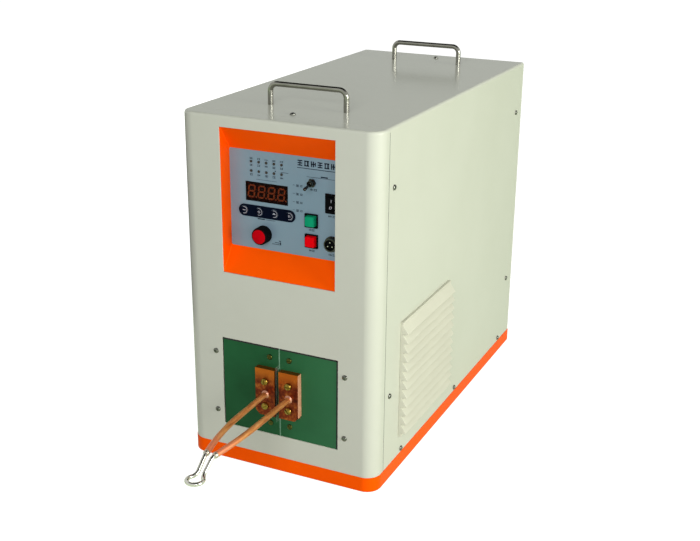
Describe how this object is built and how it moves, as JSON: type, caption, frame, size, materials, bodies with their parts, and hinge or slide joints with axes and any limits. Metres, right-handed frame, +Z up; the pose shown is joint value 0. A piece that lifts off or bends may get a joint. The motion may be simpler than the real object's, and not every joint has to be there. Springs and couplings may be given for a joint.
{
  "type": "induction heating machine",
  "caption": "Box-shaped induction heater with recessed control panel, copper work coil on an insulating board, bar handles and side louvres.",
  "frame": {"origin": "centre of the bounding box at floor level", "axes": "+Z up, +Y from the coil to the back, the front faces -Y, +X to the machine's left when seen from behind, to the right seen from the front"},
  "size_m": [0.2506, 0.6784, 0.434],
  "materials": {
    "orange_paint": "powder coat, semi-gloss",
    "rubber": "moulded, matt",
    "ivory_paint": "powder coat, semi-gloss",
    "grille_plastic": "moulded, satin",
    "steel": "zinc plated",
    "handle_steel": "polished",
    "plated_sheet": "zinc plated sheet",
    "recess_paint": "powder coat, semi-gloss",
    "panel_film": "printed film on sheet",
    "black_plastic": "moulded, satin",
    "digit_plastic": "diffuse, unlit",
    "display_window": "tinted, glossy",
    "navy_film": "printed film",
    "key_plastic": "moulded, satin",
    "circuit_board": "solder mask",
    "lamp_plastic": "unlit lamps",
    "knob_red": "moulded, satin",
    "button_green": "moulded, gloss",
    "button_red": "moulded, gloss",
    "nickel": "nickel plated",
    "insulating_board": "glass-epoxy laminate",
    "white_sheet": "smooth",
    "copper": "bare copper, handled",
    "tinned_head": "bright tinned",
    "brass": "turned brass",
    "ferrite": "sintered",
    "capacitor_case": "moulded",
    "aluminium": "milled",
    "hose_rubber": "extruded"
  },
  "bodies": {
    "case": {"base_tray": "orange_paint", "rubber_feet": "rubber", "foot_screws": "steel", "front_fascia": "ivory_paint", "wrap_cover": "ivory_paint", "rear_panel": "ivory_paint", "left_grille": "grille_plastic", "right_grille": "grille_plastic", "case_screws": "steel", "front_handle": "handle_steel", "rear_handle": "handle_steel", "handle_nuts": "steel", "equipment_shelf": "plated_sheet", "transformer_stand": "plated_sheet", "panel_recess": "recess_paint", "control_panel": "panel_film", "display_housing": "black_plastic", "display_digits": "digit_plastic", "display_window": "display_window", "key_strip": "navy_film", "control_board": "circuit_board", "indicator_leds": "lamp_plastic", "potentiometer": "steel", "button_bases": "black_plastic", "toggle_body": "nickel", "rocker_frame": "black_plastic", "foot_switch_socket": "nickel", "terminal_board": "insulating_board", "divider_sheet": "white_sheet", "terminal_blocks": "copper", "coil_plates": "copper", "coil_leads": "copper", "coil_head": "tinned_head", "brass_screws": "brass", "transformer_core": "ferrite", "transformer_winding": "copper", "capacitor_bank": "capacitor_case", "power_heat_sink": "aluminium", "power_modules": "black_plastic", "power_board": "circuit_board", "fan_frame": "black_plastic", "fan_guard": "nickel", "fan_screws": "steel", "water_nipples": "brass", "cooling_hoses": "hose_rubber", "cable_gland": "black_plastic", "earth_stud": "brass"},
    "key_1_cap": {"key_1": "key_plastic"},
    "key_2_cap": {"key_2": "key_plastic"},
    "key_3_cap": {"key_3": "key_plastic"},
    "key_4_cap": {"key_4": "key_plastic"},
    "knob": {"knob_shaft": "steel", "power_knob": "black_plastic", "knob_cap": "knob_red"},
    "start": {"start_button": "button_green"},
    "stop": {"stop_button": "button_red"},
    "toggle": {"toggle_lever": "nickel"},
    "rocker_paddle": {"rocker": "black_plastic"},
    "fan": {"fan_rotor": "black_plastic"}
  },
  "joints": [
    {"name": "key_1_press", "type": "slide", "parent": "case", "child": "key_1_cap", "axis": [0, 1, 0], "range_m": [0, 0.0006], "stiffness_N_per_m": 800},
    {"name": "key_2_press", "type": "slide", "parent": "case", "child": "key_2_cap", "axis": [0, 1, 0], "range_m": [0, 0.0006], "stiffness_N_per_m": 800},
    {"name": "key_3_press", "type": "slide", "parent": "case", "child": "key_3_cap", "axis": [0, 1, 0], "range_m": [0, 0.0006], "stiffness_N_per_m": 800},
    {"name": "key_4_press", "type": "slide", "parent": "case", "child": "key_4_cap", "axis": [0, 1, 0], "range_m": [0, 0.0006], "stiffness_N_per_m": 800},
    {"name": "start_press", "type": "slide", "parent": "case", "child": "start", "axis": [0, 1, 0], "range_m": [0, 0.0025], "stiffness_N_per_m": 400},
    {"name": "stop_press", "type": "slide", "parent": "case", "child": "stop", "axis": [0, 1, 0], "range_m": [0, 0.0025], "stiffness_N_per_m": 400},
    {"name": "knob_turn", "type": "hinge", "parent": "case", "child": "knob", "pos_m": [-0.0264, -0.1388, 0.2795], "axis": [0, 1, 0], "range_deg": [-150, 150]},
    {"name": "toggle_flip", "type": "hinge", "parent": "case", "child": "toggle", "pos_m": [0.031, -0.1428, 0.343], "axis": [-1, 0, 0], "range_deg": [0, 24]},
    {"name": "rocker_flip", "type": "hinge", "parent": "case", "child": "rocker_paddle", "pos_m": [0.054, -0.1363, 0.3235], "axis": [1, 0, 0], "range_deg": [0, 18]},
    {"name": "fan_spin", "type": "hinge", "parent": "case", "child": "fan", "pos_m": [0, 0.2942, 0.298], "axis": [0, 1, 0], "continuous": true}
  ]
}
